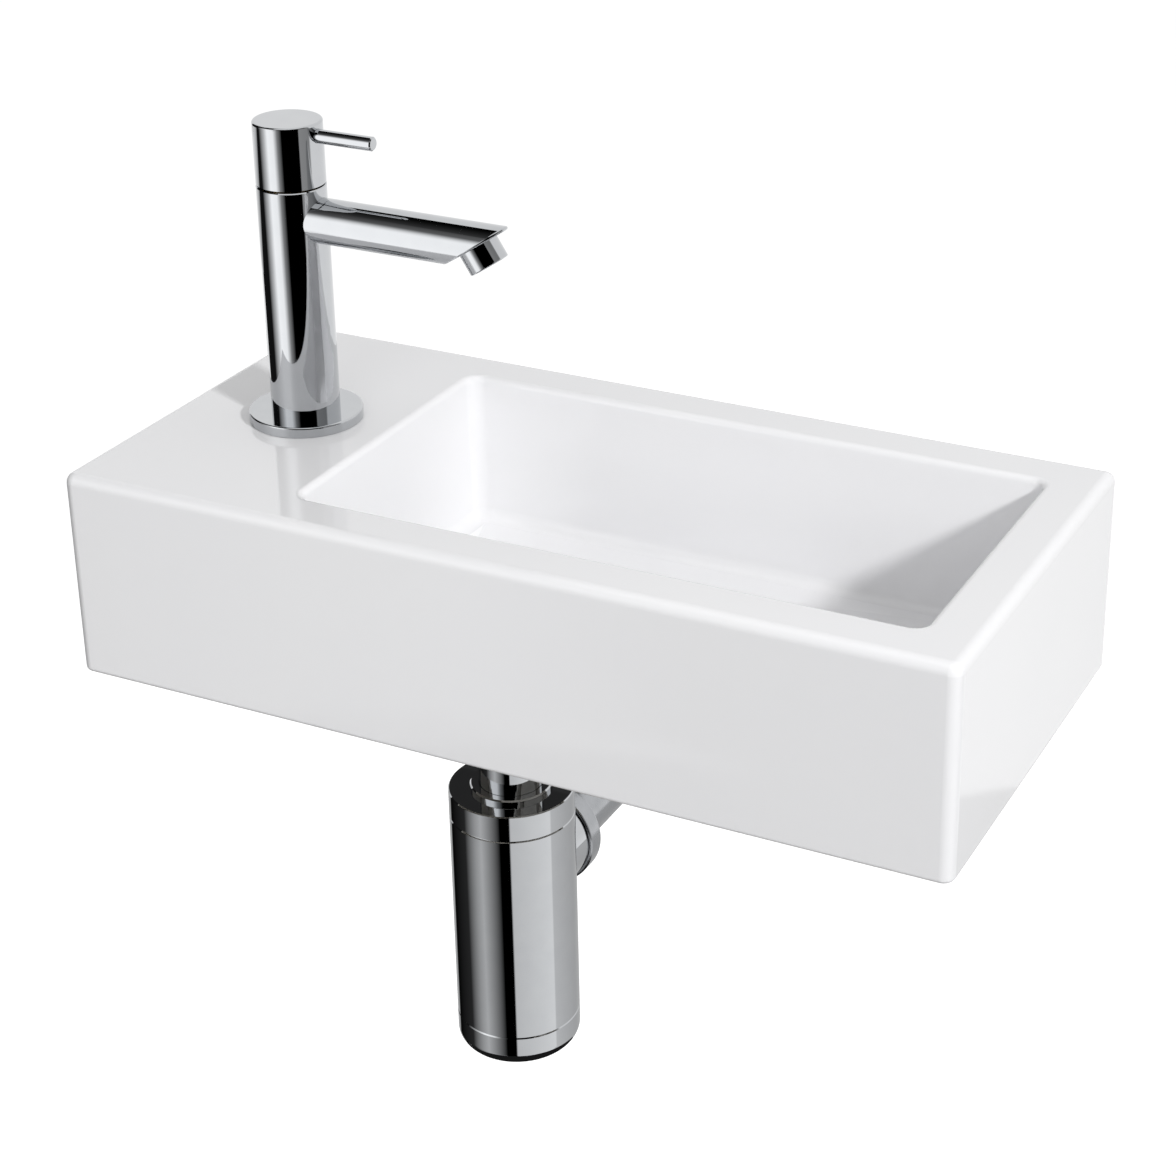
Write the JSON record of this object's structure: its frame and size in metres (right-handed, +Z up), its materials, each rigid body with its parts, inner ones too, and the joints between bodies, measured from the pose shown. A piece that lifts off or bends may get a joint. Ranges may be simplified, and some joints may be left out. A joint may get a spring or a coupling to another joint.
{
  "type": "wall-hung hand basin",
  "caption": "Small rectangular wall-hung hand basin with an off-centre bowl, a chrome pillar tap on its side deck and a chrome bottle trap below.",
  "frame": {"origin": "on the wall plane, midway between the wall fixing holes", "axes": "+X to the right as seen by someone facing the wall, +Y into the wall, +Z up"},
  "size_m": [0.385, 0.225, 0.418],
  "materials": {
    "glaze": "smooth gloss white glaze fired on vitreous china",
    "chrome": "mirror-polished chrome plate on turned and drawn brass",
    "bare_brass": "machined, unplated",
    "steel": "bright stainless",
    "seal_rubber": "moulded black rubber",
    "disc_ceramic": "lapped alumina",
    "insert_plastic": "moulded acetal"
  },
  "bodies": {
    "fixed": {"basin": "glaze", "tap_flange": "chrome", "tap_body": "chrome", "spout": "chrome", "aerator_housing": "chrome", "waste_grid": "chrome", "waste_body": "chrome", "coupling_nut": "chrome", "inlet_tube": "chrome", "gland_nut": "chrome", "trap_lid": "chrome", "trap_bottle": "chrome", "outlet_nut": "chrome", "wall_tube": "chrome", "threaded_shank": "bare_brass", "tap_backnut": "bare_brass", "headwork_body": "bare_brass", "clamp_washer": "steel", "waste_screw": "steel", "flange_gasket": "seal_rubber", "deck_washer": "seal_rubber", "headwork_seat_seal": "seal_rubber", "aerator_washer": "seal_rubber", "waste_upper_gasket": "seal_rubber", "waste_lower_gasket": "seal_rubber", "coupling_washer": "seal_rubber", "inlet_seal": "seal_rubber", "lid_seal": "seal_rubber", "outlet_seal": "seal_rubber", "fixed_disc": "disc_ceramic", "aerator_insert": "insert_plastic"},
    "handle": {"tap_handle": "chrome", "handle_lever": "chrome", "handle_grub_screw": "steel", "spindle": "bare_brass", "spindle_o_ring": "seal_rubber", "moving_disc": "disc_ceramic"},
    "cap_seal": {"cap_o_ring": "seal_rubber"},
    "cap": {"cleanout_cap": "chrome"}
  },
  "joints": [
    {"name": "handle_turn", "type": "hinge", "parent": "fixed", "child": "handle", "pos_m": [-0.135, -0.0925, 0.19], "axis": [0, 0, 1], "range_deg": [0, 90]},
    {"name": "cap_travel", "type": "slide", "parent": "fixed", "child": "cap_seal", "axis": [0, 0, -1], "range_m": [0, 0.008]},
    {"name": "cap_turn", "type": "hinge", "parent": "cap_seal", "child": "cap", "pos_m": [-0.0415, -0.0925, -0.2115], "axis": [0, 0, -1], "range_deg": [0, 1440]}
  ],
  "couplings": [
    {"joint": "cap_travel", "follows": "cap_turn", "m_per_rad": 0.00031831}
  ]
}
